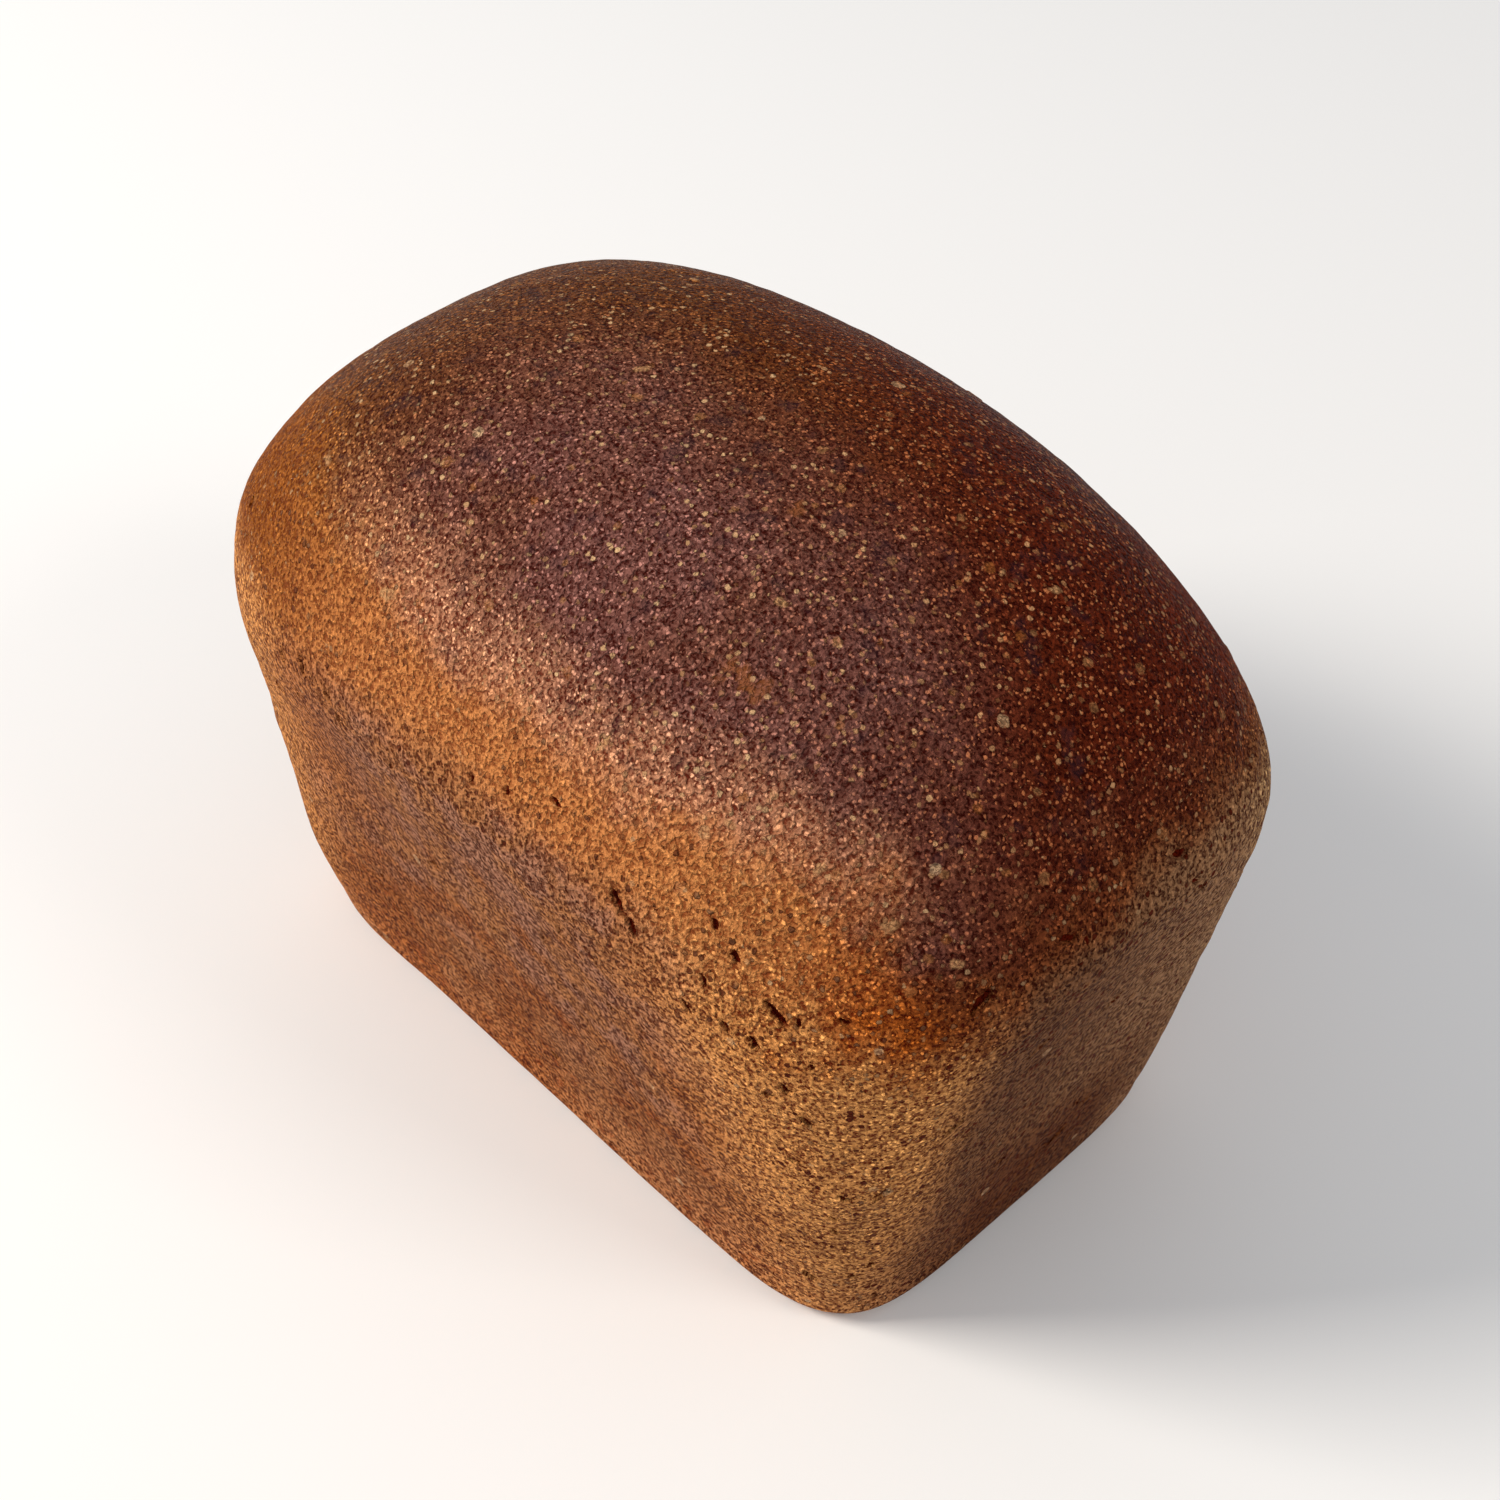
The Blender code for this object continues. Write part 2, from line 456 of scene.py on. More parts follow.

# %% [markdown]
# ## Bran flakes and scabs
#
# Coarse bran sits in the skin as pale flakes, and here and there a thin blister of dough browned
# on its own and left a scab. The few that catch the eye are listed one by one on the dome: a point
# to aim at, length, width and turn. Fine bran is left to the shader.

# %% Flakes and scabs
FLAKES = (
    ((-20, -46, 104), 3.6, 2.2, 60),
    ((24, -44, 105), 3.6, 1.1, 75),
    ((32, -20, 120), 2.2, 1.4, 10),
    ((-46, -37, 108), 2.6, 1.8, 30),
    ((-14, -3, 124), 2.4, 1.4, 80),
    ((46, 7, 118), 1.5, 0.9, 40),
    ((52, 12, 116), 2.0, 1.5, 0),
    ((74, -29, 92), 2.0, 1.6, 20),
    ((67, -34, 97), 2.4, 1.7, 50),
    ((45, -41, 104), 1.8, 1.2, 15),
    ((57, -37, 102), 2.6, 1.2, 70),
    ((-60, 30, 104), 2.8, 1.6, 25),
    ((10, 40, 108), 3.0, 1.5, 65),
    ((-30, 22, 118), 2.2, 1.6, 0),
)
SCABS = (
    ((36, -30, 116), 8.0, 6.0, 20),
    ((23, -8, 123), 4.0, 3.0, 70),
    ((-35, 25, 117), 6.0, 4.0, 40),
)
print("flakes:", len(FLAKES), "scabs:", len(SCABS))

# %% [markdown]
# ## A patch for each mark
#
# Every pit, flake and scab is an oval area on the skin with its own directions: its long way, its
# short way and straight out. The last comes from probing the form a little to each side of the
# point. With these in hand, the mesh can be shaped in terms of "along", "across" and "out".

# %% Patches
PROBE = 0.2


def on_dome(target):
    """The skin point that lies on the ray from the core towards a target point."""
    x, y, level = target
    scale = 1.0 / (level - CORE_LEVEL) * (BOX_TOP - CORE_LEVEL)
    return Vector(on_loaf(np.array([[x * scale, y * scale, BOX_TOP]]))[0])


def outward_at(point):
    """The direction straight out of the smooth form at a point on it."""
    slope = []
    for axis in range(3):
        ends = []
        for side in (-PROBE, PROBE):
            probe = np.array(point, float)
            probe[axis] += side
            ends.append(float(reach(*(np.array([c]) for c in probe))[0]))
        slope.append(ends[0] - ends[1])
    return Vector(slope).normalized()


def patch(point, length, width, tilt):
    """An oval area on the skin: its middle, its long and short directions and its sizes."""
    out = outward_at(point)
    side = Vector((0, 0, 1)).cross(out)
    side = side.normalized() if side.length > 0.05 else Vector((1, 0, 0))
    rise = out.cross(side)
    turned = math.radians(tilt)
    long_way = side * math.cos(turned) + rise * math.sin(turned)
    return {
        "middle": np.array(point),
        "long": np.array(long_way),
        "short": np.array(out.cross(long_way)),
        "out": np.array(out),
        "length": length,
        "width": width,
    }


pit_patches = [patch(on_wall(wall, along, level), *rest) for wall, along, level, *rest in pits]
flake_patches = [patch(on_dome(target), *rest) for target, *rest in FLAKES]
scab_patches = [patch(on_dome(target), *rest) for target, *rest in SCABS]
print("patches:", len(pit_patches) + len(flake_patches) + len(scab_patches))

# %% [markdown]
# ## Finer faces where the detail is
#
# The even skin has faces about a millimetre wide, too coarse for a tear that is no wider. Making
# all of them four times finer would waste most of them, so only the faces round each pit and
# flake are divided, twice over. The flat places on the UV map are divided with them.

# %% Mesh, divided locally
PATCH_MARGIN = 0.8
PATCH_REACH = 4.0
WRINKLES = {"middle": np.array([76.0, 27.0, 91.0]), "radius": 13.0}
BASE_ROOM = 70.0

mesh = bpy.data.meshes.new("loaf_skin")
mesh.from_pydata(points, [], faces)
sheet_size = top_v + max(ACROSS, base_v + BASE_ROOM - top_v)
uv_layer = mesh.uv_layers.new(name="OFBake")
flat_places = np.array([place for face in places for place in face]) / sheet_size
uv_layer.data.foreach_set("uv", flat_places.astype(np.float32).ravel())


def near_patches(centres, patches, margin):
    """Which points lie over any of the patches."""
    near = np.zeros(len(centres), bool)
    for area in patches:
        off = centres - area["middle"]
        along = np.abs(off @ area["long"]) / (area["length"] / 2 + margin)
        across = np.abs(off @ area["short"]) / (area["width"] / 2 + margin)
        near |= (along**2 + across**2 < 1) & (np.abs(off @ area["out"]) < PATCH_REACH)
    return near


work = bmesh.new()
work.from_mesh(mesh)
for passes in range(2):
    work.faces.ensure_lookup_table()
    centres = np.array([face.calc_center_median() for face in work.faces])
    chosen = near_patches(centres, pit_patches + flake_patches, PATCH_MARGIN)
    if passes == 0:
        chosen |= near_patches(centres, scab_patches, 0.0)
        chosen |= np.linalg.norm(centres - WRINKLES["middle"], axis=1) < WRINKLES["radius"]
    edges = {edge for number in np.flatnonzero(chosen) for edge in work.faces[number].edges}
    edges = sorted(edges, key=lambda edge: edge.index)
    bmesh.ops.subdivide_edges(work, edges=edges, cuts=1, use_grid_fill=True)
    work.edges.index_update()
work.to_mesh(mesh)
work.free()
print("faces now:", len(mesh.polygons))

# %% [markdown]
# ## Relief in the mesh
#
# Five things move the skin in or out. Slow swells of half a millimetre or so keep the walls and
# the dome from looking machined. A few broad bulges and hollows are listed where this loaf rose
# unevenly, and its front foot leans in a little more than the tin's wall. A fine crumple a few
# millimetres across gives the crust its uneven feel. The dome wrinkled where it shrank against
# the far corner. And the pits sink while the flakes stand proud. The relief fades out towards
# the base, which stays flat to within a few hundredths of a millimetre.
#
# All five are added up in one number per point, its lift along the skin's own outward direction,
# and the points move only once, at the end.

# %% Broad relief
SWELLS = ((42.0, 0.75), (17.0, 0.28), (7.0, 0.12))
CRUMPLE = ((3.2, 0.07), (1.9, 0.05))
WRINKLE_HEIGHT = 0.22
WRINKLE_SPREAD = 9.0
BULGES = (
    ((20, 38, 112), 28.0, 0.7),
    ((77, 30, 64), 16.0, 0.9),
    ((76, 34, 86), 9.0, 0.6),
    ((-62, -6, 109), 24.0, -0.5),
    ((-44, 27, 115), 14.0, -0.5),
    ((-57, -43, 20), 10.0, 0.9),
    ((-60, -46, 50), 12.0, -0.7),
    ((-70, -38, 88), 10.0, 0.4),
)
FOOT_INSET = 1.3
FOOT_HEIGHT = 42.0
FOOT_MIDDLE = 6.0
FLAT_BELOW = 0.4
FULL_ABOVE = 7.0


def smoothstep(low, high, value):
    """0 below low, 1 above high, and a smooth turn between."""
    share = np.clip((value - low) / (high - low), 0, 1)
    return share * share * (3 - 2 * share)


def ripple(where, size, offset=0.0):
    """Smooth noise with features of about that size, from -1 to 1 at each point."""
    shift = Vector((offset, offset * 0.7, -offset))
    return np.array([noise.noise(Vector(p) / size + shift) for p in where])


count = len(mesh.vertices)
skin = np.empty(count * 3, np.float32)
mesh.vertices.foreach_get("co", skin)
skin = skin.reshape(-1, 3).astype(float)
mesh.shade_smooth()
normals = np.array([n.vector for n in mesh.vertex_normals])
lift = np.zeros(count)
for number, (size, height) in enumerate(SWELLS + CRUMPLE):
    lift += height * ripple(skin, size, offset=3.1 * number)

from_wrinkles = np.linalg.norm(skin - WRINKLES["middle"], axis=1)
wrinkle_near = np.exp(-((from_wrinkles / WRINKLE_SPREAD) ** 2))
bend = ripple(skin, 9.0, 40.0)
fold = np.sin((skin[:, 2] * 0.9 + skin[:, 0] * 0.5) * 2.4 + bend * 5.0)
lift += WRINKLE_HEIGHT * wrinkle_near * fold
lift *= smoothstep(FLAT_BELOW, FULL_ABOVE, skin[:, 2])
for middle, radius, height in BULGES:
    away = np.linalg.norm(skin - np.array(middle, float), axis=1)
    lift += height * np.exp(-((away / radius) ** 2))
foot = (1 - smoothstep(3.0, FOOT_HEIGHT, skin[:, 2])) * smoothstep(8.0, 30.0, -skin[:, 1])
foot *= 1 - smoothstep(30.0, 62.0, np.abs(skin[:, 0] - FOOT_MIDDLE))
print("relief from", round(lift.min(), 2), "to", round(lift.max(), 2), "mm")

# %% [markdown]
# ## Relief of the marks
#
# Each mark works on the points near it. A pit that is nearly as long as it is wide is a round
# hollow. A longer one is a tear: a lens with pointed ends, bent a little, as torn dough is. Both
# get a low lip. What each mark covers is also kept as a mask on the mesh, for the shader.

# %% Marks in the mesh
PIT_EDGE = 0.60
PIT_DEPTH = 0.50
LENGTH_DEPTH = 0.06
SLIT_RATIO = 1.8
LIP_HEIGHT = 0.10
FLAKE_HEIGHT = 0.16
SCAB_HEIGHT = 0.12


def patch_share(area, ragged):
    """How far each point is from a patch's middle: 0 there, 1 on its edge. And which are near."""
    off = skin - area["middle"]
    slit = area["length"] > SLIT_RATIO * area["width"]
    near = np.abs(off @ area["out"]) < PATCH_REACH
    near &= np.linalg.norm(off, axis=1) < area["length"]
    index = np.flatnonzero(near)
    along = off[index] @ area["long"] / (area["length"] / 2)
    across = off[index] @ area["short"] / (area["width"] / 2)
    wobble = ripple(skin[index], 0.8) if len(index) else np.zeros(0)
    across = across + 0.35 * np.sin(along * 2.5)
    away = along**2 + np.abs(across) if slit else np.hypot(along, across)
    return index, away * (1 + ragged * wobble)


pit_mask = np.zeros(count)
flake_mask = np.zeros(count)
scab_mask = np.zeros(count)
for area in pit_patches:
    index, away = patch_share(area, 0.55)
    depth = PIT_DEPTH * area["width"] + LENGTH_DEPTH * area["length"]
    hollow = 1 - smoothstep(PIT_EDGE, 1.05, away)
    lip = np.exp(-(((away - 1.25) / 0.22) ** 2))
    lift[index] += LIP_HEIGHT * lip - depth * hollow
    pit_mask[index] = np.maximum(pit_mask[index], hollow)
for area in flake_patches:
    index, away = patch_share(area, 0.45)
    raised = 1 - smoothstep(0.75, 1.0, away)
    lift[index] += FLAKE_HEIGHT * raised
    flake_mask[index] = np.maximum(flake_mask[index], raised)
for area in scab_patches:
    index, away = patch_share(area, 0.5)
    crisp = 1 - smoothstep(0.6, 1.1, away)
    lift[index] += SCAB_HEIGHT * crisp * (0.4 + away)
    scab_mask[index] = np.maximum(scab_mask[index], crisp)
print("deepest pit:", round(-lift.min(), 2), "mm")

# %% Skin moved
skin += normals * lift[:, None]
skin[:, 1] += FOOT_INSET * foot
mesh.vertices.foreach_set("co", (skin * MM).astype(np.float32).ravel())
for name, values in (("pit", pit_mask), ("flake", flake_mask), ("scab", scab_mask)):
    mesh.attributes.new(name, "FLOAT", "POINT").data.foreach_set("value", values.astype(np.float32))
mesh.update()
loaf = bpy.data.objects.new("loaf", mesh)
bpy.context.scene.collection.objects.link(loaf)
print("loaf triangles:", sum(len(p.vertices) - 2 for p in mesh.polygons))

# %% [markdown]
# ## Shader maths
#
# A procedural crust is a long sum of masks and noises. Written as nodes by hand it would be hard
# to read, so one small class wraps a value on its way through the shader. Python's own signs
# then add the Math nodes: `1 - mask` is a subtract node.

# %% The class
def linear(red, green, blue):
    """A colour given in the 0 to 255 steps of a screen, as the linear values that light uses."""

    def one(step):
        value = step / 255
        return value / 12.92 if value <= 0.04045 else ((value + 0.055) / 1.055) ** 2.4

    return (one(red), one(green), one(blue), 1.0)


class Shade:
    """One value on its way through a shader: it wraps a node's output socket."""

    def __init__(self, tree, socket):
        self.tree = tree
        self.socket = socket

    def node(self, kind, settings, sockets, output=0):
        """Adds any node: its settings first, then a number, colour or Shade for each socket."""
        made = self.tree.nodes.new(kind)
        for name, value in settings.items():
            setattr(made, name, value)
        for name, value in sockets.items():
            if isinstance(value, Shade):
                self.tree.links.new(value.socket, made.inputs[name])
            else:
                made.inputs[name].default_value = value
        return Shade(self.tree, made.outputs[output])

    def maths(self, operation, first, second):
        return self.node("ShaderNodeMath", {"operation": operation}, {0: first, 1: second})

    def __add__(self, other):
        return self.maths("ADD", self, other)

    def __radd__(self, other):
        return self.maths("ADD", other, self)

    def __sub__(self, other):
        return self.maths("SUBTRACT", self, other)

    def __rsub__(self, other):
        return self.maths("SUBTRACT", other, self)

    def __mul__(self, other):
        return self.maths("MULTIPLY", self, other)

    def __rmul__(self, other):
        return self.maths("MULTIPLY", other, self)

    def smooth(self, low, high):
        """0 where the value is at low, 1 where it is at high, with a smooth turn between."""
        sockets = {"Value": self, "From Min": low, "From Max": high}
        return self.node("ShaderNodeMapRange", {"interpolation_type": "SMOOTHSTEP"}, sockets)

    def blend(self, start, end):
        """The colour that runs from start to end as this value goes from 0 to 1."""
        settings = {"data_type": "RGBA", "clamp_factor": True}
        return self.node("ShaderNodeMix", settings, {0: self, 6: start, 7: end}, 2)

    def times(self, amount):
        """A vector or colour made longer or brighter by a number or a value."""
        return self.node("ShaderNodeVectorMath", {"operation": "SCALE"}, {0: self, "Scale": amount})

    def tinting(self, colour):
        """This colour as a tint over another: the two multiplied."""
        settings = {"operation": "MULTIPLY"}
        return self.node("ShaderNodeVectorMath", settings, {0: self, 1: colour})

    def plus(self, other):
        """The sum of two vectors."""
        return self.node("ShaderNodeVectorMath", {"operation": "ADD"}, {0: self, 1: other})

    def part(self, axis):
        """One number of a vector: 0 for X, 1 for Y, 2 for Z."""
        return self.node("ShaderNodeSeparateXYZ", {}, {0: self}, axis)

    def cloud(self, size, detail=2.0, colour=False):
        """Smooth noise at this place, with features of that size in millimetres."""
        sockets = {"Vector": self, "Scale": 1.0 / size, "Detail": detail, "Roughness": 0.55}
        return self.node("ShaderNodeTexNoise", {}, sockets, 1 if colour else 0)

    def cells(self, size):
        """Scattered cells: the distance to the nearest cell's middle, and three chance numbers."""
        sockets = {"Vector": self, "Scale": 1.0 / size, "Randomness": 1.0}
        distance = self.node("ShaderNodeTexVoronoi", {}, sockets, 0)
        chance = Shade(self.tree, distance.socket.node.outputs["Color"])
        return distance, [chance.part(axis) for axis in range(3)]


print("the class has", len([n for n in vars(Shade) if not n.startswith("_")]), "named methods")

# %% [markdown]
# ## Grains
#
# Bran and cracked rye show as grains of a few sizes. Each size is a field of cells: a
# cell's chance number says whether it holds a grain, and another how big the grain is. Bending
# the place by a little noise first makes the round spots ragged.

# %% Grain fields
def grain_field(place, size, presence, smallest, largest, softness=0.05):
    """A mask of scattered grains and the chance numbers of each grain's cell."""
    distance, chance = place.cells(size)
    radius = chance[1] * (largest - smallest) + smallest
    inside = (radius - distance).smooth(0.0, softness)
    present = (presence - chance[0]).smooth(0.0, 0.01)
    return inside * present, chance[2]


crust = bpy.data.materials.new("crust")
crust.use_nodes = True
tree = crust.node_tree
shader = tree.nodes["Principled BSDF"]
coordinates = tree.nodes.new("ShaderNodeTexCoord")
place = Shade(tree, coordinates.outputs["Object"]).times(1.0 / MM)
ragged = place.plus(place.cloud(0.7, 2.0, colour=True).times(0.7))
x, y, z = (place.part(axis) for axis in range(3))
print("grain tools ready")

# %% [markdown]
# ## How the oven coloured it
#
# The open dome baked darkest: a dark red brown, with a mauve painted sheen towards the front, the
# sky's reflection laid into the colour. Along the shoulder over the tin's rim runs a golden band,
# rosy where it meets the dome, partly its own colour and partly a painted sheen. The right end
# stood nearer the heat, so there the dark dome comes right down to the rim, and the near corner
# under it is a deep orange. Under the rim the tin kept the walls tan.
#
# One could paint these zones by hand. Here they follow the place on the loaf instead: its level,
# which end it is near, how close to an upright corner. Slow noise pushes every border about, so
# that none is a straight line. Each of these is a mask from 0 to 1.

# %% Where things lie on the loaf
CORNER_AREA = 3750.0

slow = place.cloud(24.0, 3.0)
middling = place.cloud(7.0, 3.0)
quick = place.cloud(2.2, 2.0)
drift = (slow - 0.5) * 11 + (middling - 0.5) * 8 + (quick - 0.5) * 4
level = z + drift
right_end = (x + (slow - 0.5) * 16 + (middling - 0.5) * 12).smooth(50.0, 79.0)
left_end = (x + (slow - 0.5) * 16).smooth(-10.0, -60.0)
from_middles = (x * x) * (y * y) * (1 / CORNER_AREA**2)
corners = from_middles.smooth(0.18, 0.56)
near_corner = (x - y - z + drift).smooth(16.0, 38.0)
end_middle = right_end * y.smooth(-42.0, -26.0)
end_far = right_end * y.smooth(-20.0, 10.0)
back = y.smooth(8.0, 34.0)
print("masks of place made")

# %% [markdown]
# ## The walls
#
# The tin's steel kept the walls from browning. They are greyer in the middle, more orange with
# rust-red mottles towards the lower edge, palest at the upright corners and brighter towards the
# base. The right end is darker, partly its own colour and partly painted shade, and its far part
# is greyer, partly its own colour and partly a painted sheen of the sky. It has a scorched patch
# low in its middle.

# %% Wall colours
WALL_TAN = linear(150, 92, 52)
WALL_GREY = linear(142, 91, 64)
WALL_ORANGE = linear(142, 76, 32)
WALL_RUST = linear(116, 50, 18)
WALL_WARM = linear(148, 84, 42)
CORNER_TAN = linear(176, 102, 52)
END_TAN_AND_SHADE = linear(99, 57, 33)
END_GREY_AND_SHEEN = linear(137, 90, 58)
END_LOW = linear(88, 40, 16)
FOOT_BRIGHTENING = 0.30

wall = (middling.smooth(0.40, 0.62) * z.smooth(20.0, 50.0)).blend(WALL_TAN, WALL_GREY)
low_orange = (place.cloud(13.0, 3.0) - z * 0.004).smooth(0.26, 0.50)
pale_foot = x.smooth(-10.0, 20.0) * z.smooth(36.0, 12.0)
wall = (low_orange * 0.8 * (1 - pale_foot)).blend(wall, WALL_ORANGE)
rust = place.cloud(2.4, 3.0).smooth(0.50, 0.64) * (low_orange * 0.6 + 0.15)
wall = (rust * z.smooth(78.0, 58.0)).blend(wall, WALL_RUST)
wall = (x.smooth(-15.0, -40.0) * z.smooth(40.0, 62.0) * 0.8).blend(wall, WALL_WARM)
# The right end's tan is partly its own colour and partly painted shade, as that end turns away from
# the key lamp.
wall = right_end.blend(wall, END_TAN_AND_SHADE)
wall = (corners * (1 - low_orange * 0.3)).blend(wall, CORNER_TAN)
# The far part of the right end greys: partly its own colour, partly a painted sheen of the sky.
wall = (right_end * y.smooth(-18.0, 28.0) * 0.8).blend(wall, END_GREY_AND_SHEEN)
# The walls grow up to 30 % brighter towards the base.
wall = wall.times(1 + FOOT_BRIGHTENING - z.smooth(6.0, 26.0) * FOOT_BRIGHTENING)
low_end = (y + drift).smooth(-30.0, -10.0) * (y + drift).smooth(32.0, 10.0)
low_end = low_end * right_end * (z + drift).smooth(42.0, 20.0)
wall = low_end.blend(wall, END_LOW)
print("wall colours mixed")

# %% [markdown]
# ## The shoulder and the dome
#
# The dome turns from brown at the front left to a deep red at the back right. The mauve patch on
# the front of the dome is a painted sheen, the sky's reflection laid into the colour. It is one
# broad patch, so its mask is a product of soft ramps and only a little of it is noise.

# %% Shoulder and dome colours
DOME_BROWN = linear(102, 48, 18)
DOME_RED = linear(97, 28, 9)
DOME_SHEEN_PURPLE = linear(113, 61, 50)
ROSY_AND_SHEEN = linear(166, 97, 67)
LEFT_BROWN = linear(118, 57, 17)
GOLD = linear(168, 95, 49)
DARK_GOLD = linear(131, 64, 20)
CORNER_GOLD = linear(152, 62, 12)
END_BELT = linear(114, 50, 20)
END_RED = linear(88, 34, 15)

gold = (left_end * level.smooth(84.0, 94.0)).blend(GOLD, DARK_GOLD)
gold = (right_end + near_corner * (1 - right_end)).blend(gold, CORNER_GOLD)
gold = end_middle.blend(gold, END_BELT)
# The rosy band is partly the crust's own colour and partly a painted sheen where the shoulder turns
# up.
rosy_and_sheen = right_end.blend(left_end.blend(ROSY_AND_SHEEN, LEFT_BROWN), END_RED)
redness = (x + y * 1.2 + drift * 2).smooth(-25.0, 75.0)
dome = redness.blend(DOME_BROWN, DOME_RED)
front_top = (y * -1.0 + drift).smooth(-16.0, 16.0) * x.smooth(-55.0, -5.0)
front_top = front_top * (drift - x - y).smooth(-66.0, -26.0)
# Painted sheen: the sky's mauve reflection on the front of the dome, laid into the colour.
painted_sheen = front_top * (place.cloud(17.0, 3.0).smooth(0.30, 0.62) * 0.4 + 0.6)
dome = painted_sheen.blend(dome, DOME_SHEEN_PURPLE)
print("shoulder and dome colours mixed")

# %% [markdown]
# ## The zones laid over each other
#
# Going up from the base, four colours follow: wall, gold, rosy and dome. The rosy band is partly
# its own colour and partly a painted sheen. Each border has its own level in millimetres. The
# other masks raise or lower it, so a plus brings the upper colour further down.

# %% Zones joined
rim_shift = right_end * 2 + corners * 3 + near_corner * 8 - end_far * 4
rosy_and_sheen_shift = right_end * 12 - end_far * 4 - left_end * 5
inward_shift = (back * 14 + (y + drift).smooth(-42.0, -16.0) * 10) * (1 - right_end)
dome_shift = right_end * 16 - end_far * 2 + inward_shift - left_end * 2
over_rim = (level + rim_shift).smooth(85.0, 94.0)
to_rosy_and_sheen = (level + rosy_and_sheen_shift).smooth(98.0, 107.0)
to_dome = (level + dome_shift).smooth(105.0, 117.0)
baked = over_rim.blend(wall, gold)
baked = to_rosy_and_sheen.blend(baked, rosy_and_sheen)
baked = to_dome.blend(baked, dome)
print("oven zones joined")

# %% [markdown]
# ## Grain over the zones
#
# Close up, the crust is not one colour at all. It is a dark red matrix, where the dough
# caramelised, with paler grains of bran and cracked rye set close together in it. So the zone
# colour is split in two, a darker and redder tint for the matrix and a paler, greyer one for the
# grains, and a pattern of grains chooses between them. On the dome the two tints lie far apart
# and the grains stand alone. On the walls, which the tin kept from the heat, they lie closer
# together and crowd into a weave.
#
# A tint is a factor for each of red, green and blue, so it may be more than one.

# %% Grain pattern
MATRIX_WALL = (0.22, 0.09, 0.05, 1.0)
MATRIX_DOME = (0.27, 0.09, 0.06, 1.0)
GRAIN_WALL = (2.05, 2.40, 2.80, 1.0)
GRAIN_DOME = (4.70, 7.50, 8.80, 1.0)

bare_dome = (level + right_end * 8).smooth(98.0, 110.0)
belt = over_rim * (1 - bare_dome) * (1 - right_end) * (1 - near_corner)
coarse = over_rim * 0.70 + bare_dome * 0.30 + corners * 0.45 - belt * 0.28
coarse = (coarse + right_end * (1 - over_rim) * 0.30).smooth(0.0, 1.0)
weave = ragged.cloud(0.46, 1.0).smooth(0.36, 0.64)
pebbles = ragged.cloud(0.80, 1.0).smooth(0.25, 0.75)
specks, speck_chance = grain_field(ragged, 0.62, 0.90, 0.24, 0.60, 0.26)
grit, grit_chance = grain_field(ragged, 1.20, 0.70, 0.14, 0.44, 0.12)
tops = pebbles.smooth(0.25, 0.75)
wall_grain = weave * 0.26 + tops * 0.52 + specks * speck_chance * 0.36
dome_grain = weave * 0.12 + tops * 0.14 + specks * speck_chance * 0.70
grain = wall_grain * (1 - coarse) + dome_grain * coarse
matrix_tint = coarse.blend(MATRIX_WALL, MATRIX_DOME)
grain_tint = coarse.blend(GRAIN_WALL, GRAIN_DOME)
colour = grain.blend(matrix_tint, grain_tint).tinting(baked)
print("grain pattern made")

# %% [markdown]
# ## Softer in the belt, sharper on the red dome
#
# The golden belt is smooth to look at, so part of the plain zone colour is laid back over it. The
# red side of the dome is the reverse: a darker ground with small bright specks and grit.

# %% Specks and grit
GRIT_RED = linear(204, 132, 80)
SPECK_TAN = linear(196, 120, 74)
GRIT_TAN = linear(192, 134, 80)
GRIT_CREAM = linear(216, 176, 130)

deep = redness * bare_dome
colour = (belt * 0.35).blend(colour, baked.times(1.15))
colour = colour.times(1 - deep * 0.18)
grit_colour = grit_chance.blend(GRIT_TAN, GRIT_CREAM)
grit_colour = (deep * 0.6).blend(grit_colour, GRIT_RED)
red_specks = specks * speck_chance.smooth(0.40, 0.80) * deep
colour = red_specks.blend(colour, SPECK_TAN)
colour = (grit * grit_chance * (coarse * 0.85 + 0.10)).blend(colour, grit_colour)
print("specks and grit added")

# %% [markdown]
# ## Bran, flakes, pores and pits
#
# A few things are too big or too dark to be part of that pattern: coarse bran, cream flakes and
# bluish smudges where the dome scorched. The walls show fine open pores, coloured a dark red
# brown inside. The pits cut in the mesh have the same colour, a little redder.

# %% Larger marks
BRAN_ORANGE = linear(170, 100, 46)
BRAN_TAN = linear(186, 134, 86)
CREAM = linear(218, 180, 138)
SMUDGE = linear(46, 32, 40)
PORE_RED = linear(84, 28, 10)
PIT_RED = linear(96, 24, 8)
FLAKE_PALE = linear(198, 148, 100)
SCAB_BROWN = linear(150, 88, 48)

bran, bran_chance = grain_field(ragged, 3.4, 0.34, 0.12, 0.34, 0.08)
flakes, flake_chance = grain_field(ragged, 6.0, 0.22, 0.07, 0.20, 0.03)
pores, pore_chance = grain_field(ragged, 1.20, 0.62, 0.16, 0.48, 0.05)
porous = place.cloud(9.0, 2.0).smooth(0.32, 0.54) * (1 - bare_dome)
pores = pores * pore_chance.smooth(0.1, 0.6) * (porous + right_end * (1 - over_rim) * 0.5)

smudges = place.cloud(5.0, 3.0).smooth(0.56, 0.68) * bare_dome * (1 - back)
colour = (smudges * 0.40).blend(colour, SMUDGE)
bran_tint = bran_chance.blend(BRAN_ORANGE, BRAN_TAN)
colour = (bran * (coarse * 0.42 + 0.10) * (0.4 + weave * 0.6)).blend(colour, bran_tint)
flake_tint = flake_chance.blend(FLAKE_PALE, CREAM)
colour = (flakes * (0.25 + weave * 0.45)).blend(colour, flake_tint)
colour = (pores * 0.85).blend(colour, PORE_RED)


def mark(name):
    """A mask that was stored on the mesh's own points."""
    return place.node("ShaderNodeAttribute", {"attribute_name": name}, {}, "Fac")


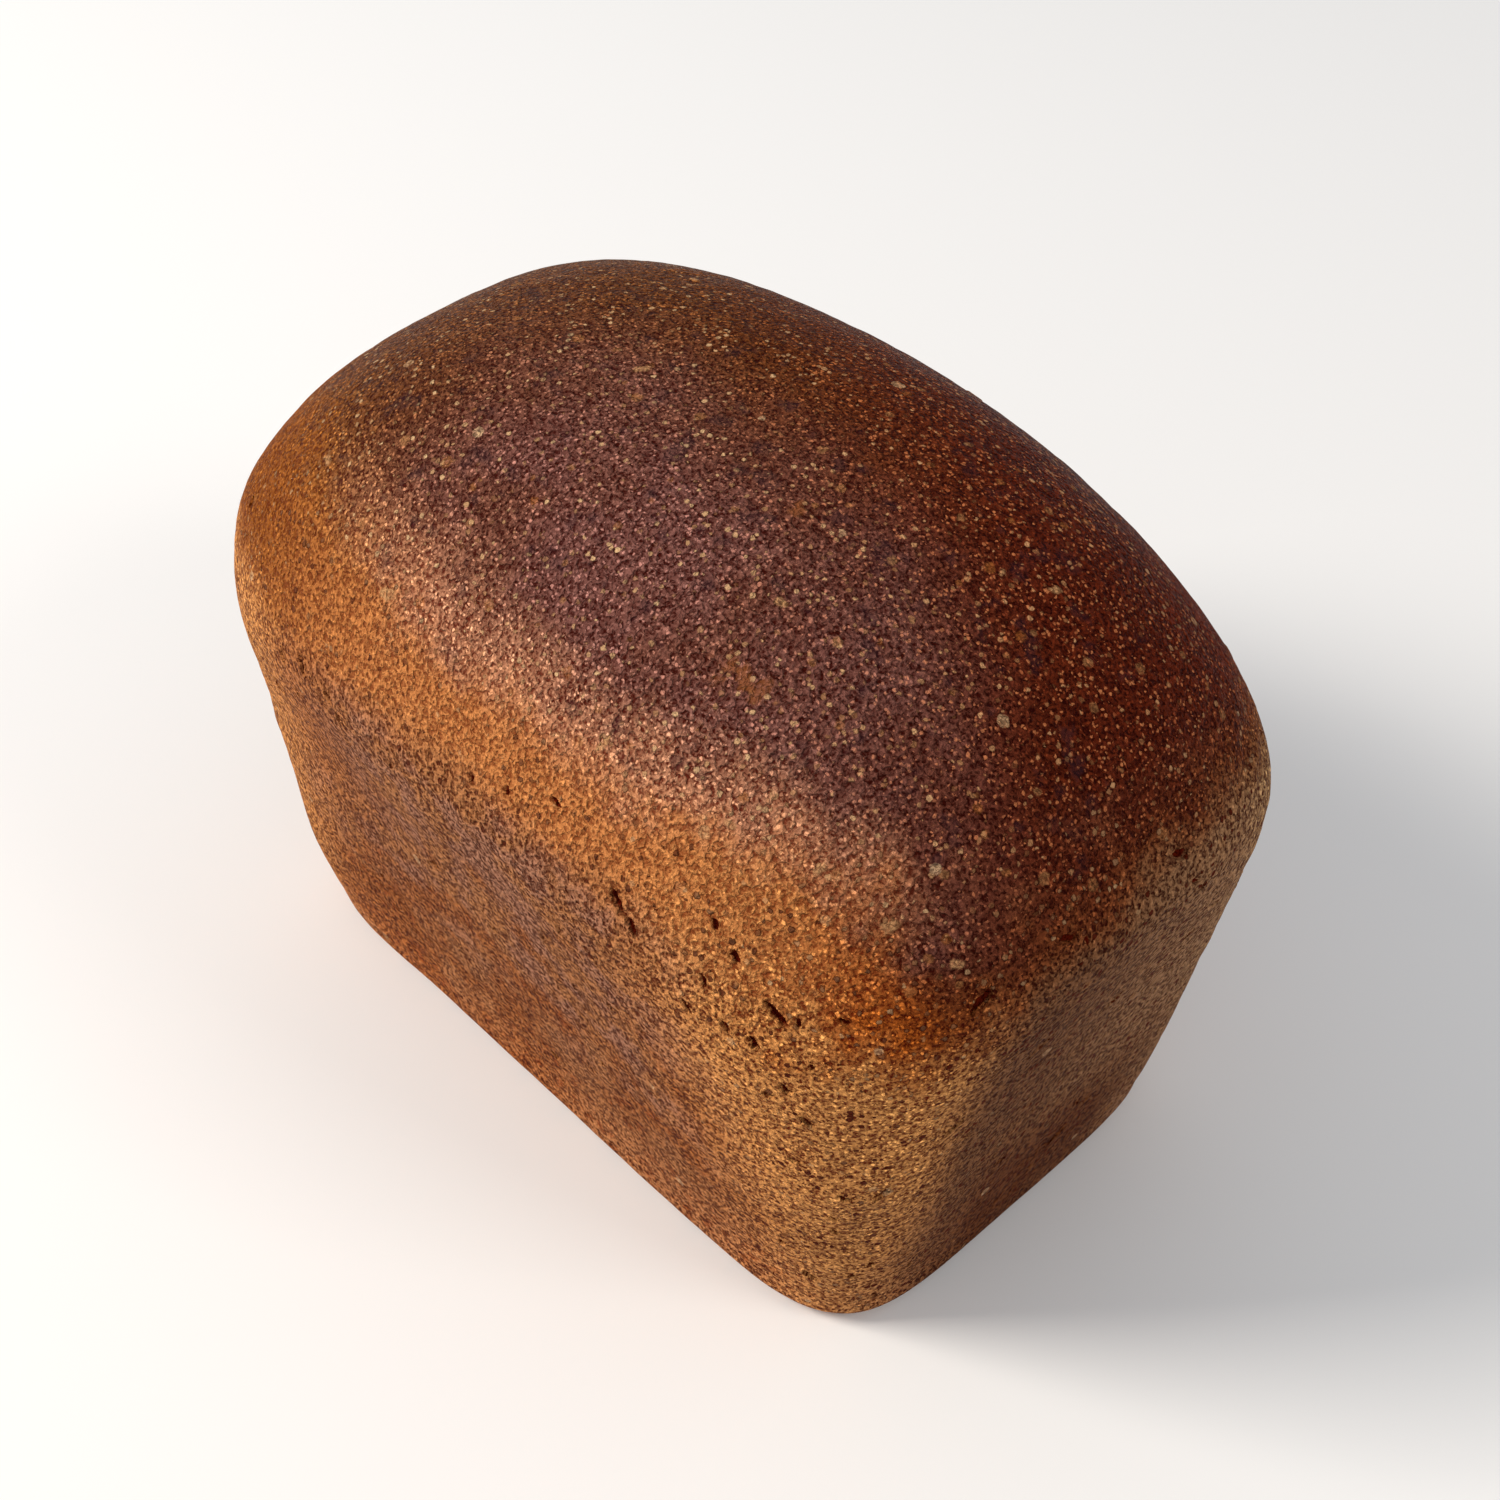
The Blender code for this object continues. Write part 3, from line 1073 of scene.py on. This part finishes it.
colour = (mark("scab") * quick.smooth(0.40, 0.58) * 0.55).blend(colour, SCAB_BROWN)
colour = (mark("flake") * (0.30 + weave * 0.55)).blend(colour, FLAKE_PALE)
colour = mark("pit").smooth(0.30, 0.70).blend(colour, PIT_RED)
tree.links.new(colour.socket, shader.inputs["Base Color"])
print("nodes so far:", len(tree.nodes))

# %% [markdown]
# ## Sheen and fine relief
#
# Starch on the dome sets with a low sheen, so the dome is smoother than the dry walls and the
# bran. The finest relief, grains less than a millimetre across, is left to a bump: in the mesh
# it would take millions of faces. Its height is in millimetres, so the bump's distance is one
# millimetre. Dry crust hardly shines at all, so its specular level is far below the default.

# %% Roughness and bump
rough = 0.62 - bare_dome * 0.16 + bran * 0.08 + mark("pit") * 0.25 + (middling - 0.5) * 0.14
tree.links.new(rough.socket, shader.inputs["Roughness"])
height = (
    pebbles * (coarse * 0.10 + 0.50)
    + weave * 0.08
    + quick * 0.60
    + specks * 0.08
    + grit * (coarse * 0.16 + 0.06)
    + bran * 0.09
    + flakes * 0.10
    - pores * 0.35
)
bump = place.node("ShaderNodeBump", {}, {"Height": height, "Distance": MM, "Strength": 1.0})
tree.links.new(bump.socket, shader.inputs["Normal"])
shader.inputs["Specular IOR Level"].default_value = 0.02
loaf.data.materials.append(crust)
print("crust nodes:", len(tree.nodes))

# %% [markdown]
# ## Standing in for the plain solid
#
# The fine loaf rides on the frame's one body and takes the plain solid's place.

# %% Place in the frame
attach(loaf, "root")
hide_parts("tin_loaf")
print("loaf rides on root")

# %% [markdown]
# ## Floor and light
#
# A pale floor and soft daylight suit bread: hard light would bury its low relief in glare. The
# key lamp stands high on the camera's left, and is small enough to draw each grain's shadow. A
# weaker one on the right and the pale surroundings fill the shaded end.

# %% Floor
FLOOR_SIZE = 4.0
FLOOR_WHITE = (0.92, 0.92, 0.92, 1.0)
half = FLOOR_SIZE / 2
floor_corners = [(-half, -half, 0), (half, -half, 0), (half, half, 0), (-half, half, 0)]
floor_data = bpy.data.meshes.new("floor")
floor_data.from_pydata(floor_corners, [], [(0, 1, 2, 3)])
floor = bpy.data.objects.new("floor", floor_data)
bpy.context.scene.collection.objects.link(floor)
floor_paint = bpy.data.materials.new("floor_paint")
floor_paint.use_nodes = True
floor_shader = floor_paint.node_tree.nodes["Principled BSDF"]
floor_shader.inputs["Base Color"].default_value = FLOOR_WHITE
floor_shader.inputs["Roughness"].default_value = 0.9
floor.data.materials.append(floor_paint)
floor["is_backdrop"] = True
print("floor", FLOOR_SIZE, "m wide")

# %% Light
WORLD_COLOUR = (0.90, 0.94, 1.0, 1.0)
WORLD_STRENGTH = 0.46
LAMP_COLOUR = (1.0, 0.93, 0.84)
LAMP_POWER = 18.5
LAMP_SIZE = 0.5
LAMP_AT = Vector((-0.75, -0.85, 0.95))
FILL_POWER = 5.0
FILL_SIZE = 0.5
FILL_AT = Vector((1.10, 0.35, 1.00))

world = bpy.data.worlds.new("studio")
world.use_nodes = True
world.node_tree.nodes["Background"].inputs["Color"].default_value = WORLD_COLOUR
world.node_tree.nodes["Background"].inputs["Strength"].default_value = WORLD_STRENGTH
bpy.context.scene.world = world


def add_lamp(name, power, size, where):
    """Hangs a square lamp that faces the loaf."""
    data = bpy.data.lights.new(name, "AREA")
    data.energy = power
    data.size = size
    data.color = LAMP_COLOUR
    hung = bpy.data.objects.new(name, data)
    hung.location = where
    hung.rotation_euler = (LOOK_AT - where).to_track_quat("-Z", "Y").to_euler()
    bpy.context.scene.collection.objects.link(hung)


add_lamp("key", LAMP_POWER, LAMP_SIZE, LAMP_AT)
add_lamp("fill", FILL_POWER, FILL_SIZE, FILL_AT)
bpy.context.scene.view_settings.view_transform = "Standard"
print("lamps:", LAMP_POWER, "W and", FILL_POWER, "W")

# Both boxes are gathered and their sizes printed.

# %% Finish
made_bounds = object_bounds()
boxes = {
    "cad": [[float(c) for c in corner] for corner in cad_bounds],
    "visual": [[float(c) for c in corner] for corner in made_bounds],
}
for name, (low, high) in boxes.items():
    print(name, "size in mm:", [round((b - a) / MM, 1) for a, b in zip(low, high)])
